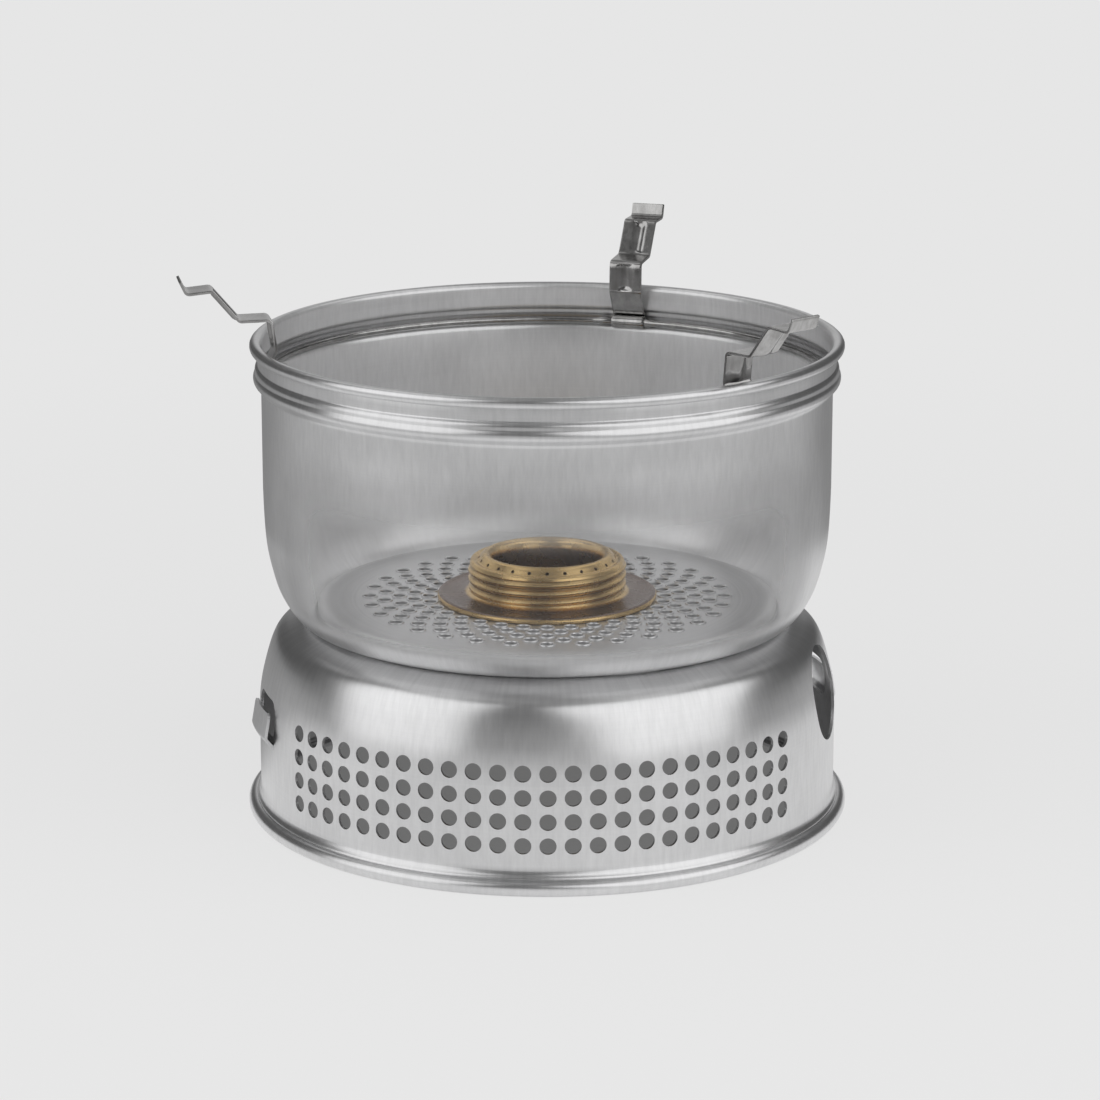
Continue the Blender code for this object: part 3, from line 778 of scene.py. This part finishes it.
def collarProfile():
    (low, high), rings = burner["threadHeights"], burner["threadRings"]
    neck = [(burner["threadRadius"], high - (high - low) * i / (rings - 1)) for i in range(rings)]
    return eased(burner["rim"], 1) + neck + eased(burner["flange"], 1)


def windThread(collar):      # the thread winds down the neck and runs out at both ends
    low, high = burner["threadHeights"]
    fadeLow, fadeHigh = burner["threadFades"]
    mesh = editing(collar)
    for vert in mesh.verts:
        x, y, height = vert.co.x - axisX, vert.co.y - axisY, vert.co.z / mm
        if low - hair < height < high + hair and math.hypot(x, y) > burner["threadInside"] * mm:
            azimuth = math.atan2(y, x) / math.tau
            turns = (height - low) / burner["threadPitch"] - azimuth - burner["threadStart"]
            fade = min(1.0, (height - low) / fadeLow, (high - height) / fadeHigh)
            depth = burner["threadDepth"] * max(0.0, fade) * math.cos(math.tau * turns)
            push = 1.0 + depth / burner["threadRadius"]
            vert.co.x, vert.co.y = axisX + x * push, axisY + y * push
    bmesh.update_edit_mesh(collar.data)
    doneEditing()


def makeCollar():
    collar = turned("burner_collar_turned", collarProfile(), burner["steps"])
    windThread(collar)
    asSheet(collar, burner["sheet"])
    jets = [(burner["jetCircle"], burner["jetHeight"], frontward, burner["jetPitch"])]
    count = burner["jets"]
    return cutWith(collar, punchRing("jets", burner["jetPunch"], jets, count, evenSweep(count)))


def makeCup():
    profile = eased(burner["cup"], 1) + burner["cupBottom"]
    return asSheet(turned("burner_cup_spun", profile, burner["steps"]), burner["sheet"])


def makeInnerWall():
    tube = asSheet(turned("burner_inner_wall_tube", burner["innerWall"], burner["steps"]), burner["sheet"])
    ports = [burner["portPlace"]]
    count = burner["ports"]
    return cutWith(tube, punchRing("ports", burner["portPunch"], ports, count, evenSweep(count)))


def makeWick():
    return turned("burner_wick_ring", burner["wick"], burner["wickSteps"])


brass = bronzedBrass("bronzed brass")
finished(makeCollar(), "burner_collar", "burner", brass)
finished(makeCup(), "burner_cup", "burner", brass)
finished(makeInnerWall(), "burner_inner_wall", "burner", brass)
finished(makeWick(), "burner_wick", "burner", wickFibre("wick fibre"))


# floor, light and camera

studio = {
    "floor": 14.0, "backdrop": 0.791, "plainLight": 0.55,
    "paint": 0.18, "paintShare": 0.15, "paintFades": (300.0, 800.0),
    # the dim floor glow inside the base's edge is a painted shadow under the base
    "paintedShadowUnderBase": 0.13, "baseEdge": (98.5, 101.0),
    "panels": {      # azimuth and elevation from the object, distance, size, brightness
        "left": (209.5, 26.0, 1.25, (1.38, 1.28), 1.0),
        "right": (321.5, 27.0, 1.25, (2.10, 1.30), 1.04),
    },
    "aim": (0.01, -0.01, 0.08),
}
surround = {      # mm; pairs of limits are where one brightness fades into the next
    "profile": [(104.0, 2.0), (360.0, 2.0), (700.0, 2.0), (1500.0, 2.0), (1500.0, 260.0), (1500.0, 900.0),
                (1500.0, 1600.0), (1400.0, 2500.0), (900.0, 2500.0), (0.0, 2500.0)],
    "radius": 1500.0, "steps": 96,
    "table": 0.50, "tableBack": 0.25, "towardsBack": (0.25, 0.85), "tableTop": (10.0, 90.0),
    "frontRise": 230.0, "frontWall": (0.75, 0.97),      # the table's light reaches higher at the front
    "nearTable": 0.74, "nearEdge": (300.0, 400.0),
    "behind": 0.42, "behindLeft": (0.74, 0.97), "diagonal": 0.7,      # darker behind, at the left
    "dark": 0.09, "back": 0.52, "backWall": (0.93, 1.0), "darkTop": (2000.0, 2500.0),
    "backDrop": 1000.0, "farWall": (0.25, 0.75),      # the dark band ends lower at the back
    "light": 0.25, "overhead": 0.48, "overheadOff": 50.0, "overheadGap": (300.0, 850.0),
    "overheadFront": (-900.0, -300.0),
}


def seenRays(start):      # 1 for rays from the camera and for those that metal or glass sends on
    path = start.node("ShaderNodeLightPath", output="Is Camera Ray")
    return path.atLeast(path.beside("Is Glossy Ray").atLeast(path.beside("Is Transmission Ray")))


def stageMaterial(name):      # a tree with nothing but its output
    material = bpy.data.materials.new(name)
    material.use_nodes = True
    tree = material.node_tree
    tree.nodes.remove(tree.nodes["Principled BSDF"])
    return material, Wire(tree)


def painted(piece, material, surface):
    surface.tree.links.new(surface.socket, surface.tree.nodes["Material Output"].inputs["Surface"])
    piece.data.materials.append(material)


def makeFloor():
    bpy.ops.object.select_all(action="DESELECT")
    bpy.ops.mesh.primitive_plane_add(size=studio["floor"], location=(0.0, 0.0, 0.0))
    floor = named(bpy.context.object, "studio_floor")
    material, start = stageMaterial("studio floor")
    radius = fromAxis(start)[3]
    share = 1.0 - radius.step(*studio["paintFades"])
    colour = share.mix(black, (studio["paint"],) * 3 + (1.0,))
    # inside the base's edge the floor's glow drops to a dim level: a painted shadow under the base
    outside = radius.step(*studio["baseEdge"])
    glow = (studio["backdrop"] - share * studio["paintShare"]) * outside
    glow = glow + (1.0 - outside) * studio["paintedShadowUnderBase"]
    paint = start.node("ShaderNodeBsdfDiffuse", None, {"Color": colour})
    light = start.node("ShaderNodeEmission", None, {"Color": white, "Strength": seenRays(start) * glow})
    painted(floor, material, start.node("ShaderNodeAddShader", None, {0: paint, 1: light}))


def makeSurround():      # the dim room round the table, which only the metal sees
    look = surround
    room = turned("studio_surround", look["profile"], look["steps"])
    material, start = stageMaterial("studio surround")
    x, y, radius, height = fromAxis(start)[1:]
    front = (0.0 - y / look["radius"]).step(*look["frontWall"])
    low = 1.0 - (height - front * look["frontRise"]).step(*look["tableTop"])
    near = 1.0 - radius.step(*look["nearEdge"])
    behind = ((y - x) * look["diagonal"] / radius).step(*look["behindLeft"]) * look["behind"]
    table = look["table"] - (y / radius).step(*look["towardsBack"]) * look["tableBack"]
    table = near * (look["nearTable"] - behind - table) + table
    dark = (y / radius).step(*look["backWall"]) * (look["back"] - look["dark"]) + look["dark"]
    far = (y / look["radius"]).step(*look["farWall"])
    high = (height + far * look["backDrop"]).step(*look["darkTop"])
    overhead = x.maths("ABSOLUTE", x + look["overheadOff"]).step(*look["overheadGap"])
    overhead = overhead * y.step(*look["overheadFront"]) * look["overhead"] + look["light"]
    strength = low * table + (1.0 - low) * ((1.0 - high) * dark + high * overhead)
    painted(room, material, start.node("ShaderNodeEmission", None, {"Color": white, "Strength": strength}))
    room.visible_camera = room.visible_diffuse = room.visible_shadow = False


def makeBackdrop():
    world = bpy.data.worlds.new("studio")
    bpy.context.scene.world = world
    world.use_nodes = True
    tree = world.node_tree
    strength = seenRays(Wire(tree)) * (studio["backdrop"] - studio["plainLight"]) + studio["plainLight"]
    tree.links.new(strength.socket, tree.nodes["Background"].inputs["Strength"])
    tree.nodes["Background"].inputs["Color"].default_value = white


def makePanels():
    aim = Vector(studio["aim"])
    for name, (azimuth, elevation, distance, size, brightness) in studio["panels"].items():
        turn, lift = math.radians(azimuth), math.radians(elevation)
        away = Vector((math.cos(turn) * math.cos(lift), math.sin(turn) * math.cos(lift), math.sin(lift)))
        light = bpy.data.lights.new(name, "AREA")
        light.shape = "RECTANGLE"
        light.size, light.size_y = size
        light.energy = math.pi * size[0] * size[1] * brightness
        panel = bpy.data.objects.new(name, light)
        bpy.context.scene.collection.objects.link(panel)
        panel.location = aim + away * distance
        panel.rotation_euler = (-away).to_track_quat("-Z", "Y").to_euler()
        panel.visible_camera = False


view = {      # metres and mm of lens, down in degrees and turn in radians
    "sensor": 36.0, "lens": 127.36, "farthest": 30.0, "place": (0.0099, -1.27902, 0.41851),
    "down": 14.5556, "turn": -0.0007664,
}


def makeCamera():
    lens = bpy.data.cameras.new("camera")
    lens.sensor_width, lens.lens, lens.clip_end = view["sensor"], view["lens"], view["farthest"]
    camera = bpy.data.objects.new("camera", lens)
    bpy.context.scene.collection.objects.link(camera)
    camera.location = view["place"]
    camera.rotation_euler = (math.radians(90.0 - view["down"]), 0.0, view["turn"])
    bpy.context.scene.camera = camera


makeFloor()
makeSurround()
makeBackdrop()
makePanels()
makeCamera()
bpy.context.scene.view_settings.view_transform = "Standard"
print("studio set")
